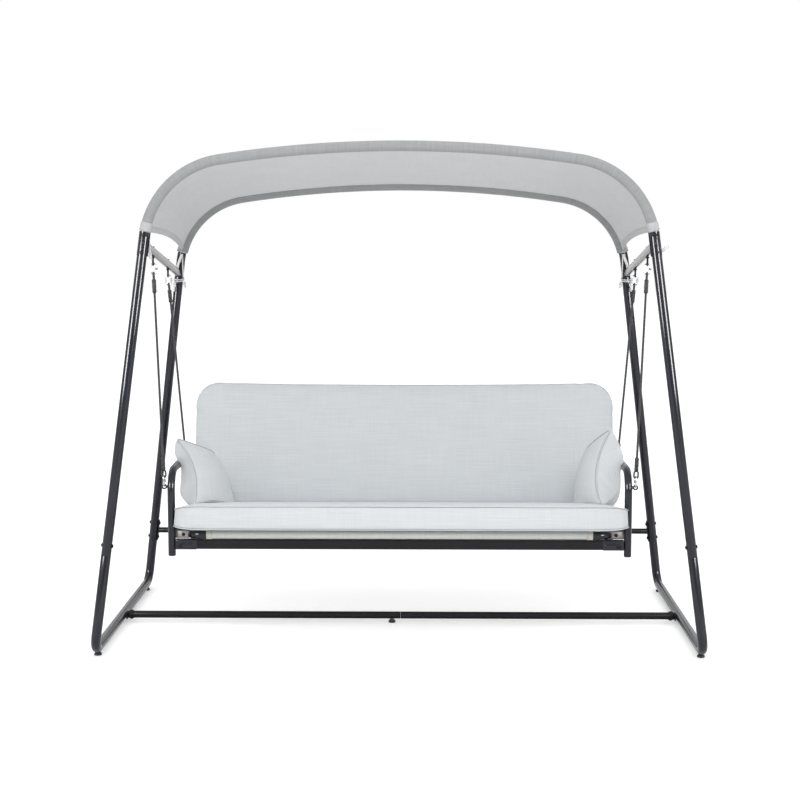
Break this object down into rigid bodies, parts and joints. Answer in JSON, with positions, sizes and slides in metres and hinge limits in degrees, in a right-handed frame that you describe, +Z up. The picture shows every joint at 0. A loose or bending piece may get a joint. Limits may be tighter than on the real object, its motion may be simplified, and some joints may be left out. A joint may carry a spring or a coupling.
{
  "type": "garden swing",
  "caption": "Garden swing bench with padded seat, leaning back and pillows, hung on ropes under a curved fabric canopy in a round-tube stand.",
  "frame": {"origin": "centre of the footprint on the floor", "axes": "+X along the bench to the right as seen from the front, +Y from the front to the back, +Z up"},
  "size_m": [2.3698, 1.2608, 1.9789],
  "materials": {
    "dark_paint": "anthracite powder coat, satin",
    "bar_paint": "near-black powder coat, satin",
    "zinc_plate": "bright zinc plate",
    "black_steel": "black coated fastener",
    "black_plastic": "moulded black glide",
    "black_rope": "braided black cord with pressed sleeves",
    "canopy_cloth": "pale grey woven polyester",
    "sling_cloth": "pale open-weave mesh",
    "cushion_cloth": "pale blue-grey linen weave, piped edges",
    "pillow_cloth": "pale blue-grey linen weave"
  },
  "bodies": {
    "stand": {"left_lower_frame": "dark_paint", "right_lower_frame": "dark_paint", "left_front_upper_leg": "dark_paint", "left_rear_upper_leg": "dark_paint", "right_front_upper_leg": "dark_paint", "right_rear_upper_leg": "dark_paint", "left_front_bar_bolt": "black_steel", "left_rear_bar_bolt": "black_steel", "right_front_bar_bolt": "black_steel", "right_rear_bar_bolt": "black_steel", "left_front_foot": "black_plastic", "left_rear_foot": "black_plastic", "right_front_foot": "black_plastic", "right_rear_foot": "black_plastic", "left_side_bar": "dark_paint", "right_side_bar": "dark_paint", "left_floor_bar": "bar_paint", "right_floor_bar": "bar_paint", "left_front_joint_bolt": "black_steel", "left_rear_lower_bolt": "black_steel", "left_rear_upper_bolt": "black_steel", "right_front_joint_bolt": "black_steel", "right_rear_lower_bolt": "black_steel", "right_rear_upper_bolt": "black_steel", "front_canopy_hoop": "dark_paint", "rear_canopy_hoop": "dark_paint", "middle_foot": "black_plastic", "rear_cross_bar": "bar_paint", "canopy": "canopy_cloth", "left_front_eye": "black_steel", "left_rear_eye": "black_steel", "right_front_eye": "black_steel", "right_rear_eye": "black_steel"},
    "front_ropes": {"left_front_upper_link": "zinc_plate", "left_front_rope": "black_rope", "left_front_lower_link": "zinc_plate", "right_front_upper_link": "zinc_plate", "right_front_rope": "black_rope", "right_front_lower_link": "zinc_plate"},
    "rear_ropes": {"left_rear_upper_link": "zinc_plate", "left_rear_rope": "black_rope", "left_rear_lower_link": "zinc_plate", "right_rear_upper_link": "zinc_plate", "right_rear_rope": "black_rope", "right_rear_lower_link": "zinc_plate"},
    "bench": {"left_arm_loop": "dark_paint", "right_arm_loop": "dark_paint", "left_seat_plate": "zinc_plate", "right_seat_plate": "zinc_plate", "bench_front_bar": "bar_paint", "bench_rear_bar": "bar_paint", "seat_frame": "dark_paint", "seat_rear_rail": "dark_paint", "seat_sling": "sling_cloth", "back_frame": "dark_paint", "back_sling": "sling_cloth", "seat_cushion": "cushion_cloth", "back_cushion": "cushion_cloth", "left_pillow": "pillow_cloth", "right_pillow": "pillow_cloth"}
  },
  "joints": [
    {"name": "swing", "type": "hinge", "parent": "stand", "child": "front_ropes", "pos_m": [0, -0.265, 1.50524], "axis": [1, 0, 0], "range_deg": [-12, 12]},
    {"name": "bench_on_front_ropes", "type": "hinge", "parent": "front_ropes", "child": "bench", "pos_m": [0, -0.36, 0.638], "axis": [1, 0, 0], "range_deg": [-9, 9]},
    {"name": "rear_rope_swing", "type": "hinge", "parent": "stand", "child": "rear_ropes", "pos_m": [0, 0.15, 1.44575], "axis": [1, 0, 0], "range_deg": [-13, 13]}
  ],
  "couplings": [
    {"joint": "bench_on_front_ropes", "follows": "swing", "ratio": -0.671},
    {"joint": "rear_rope_swing", "follows": "swing", "ratio": 1.054}
  ]
}
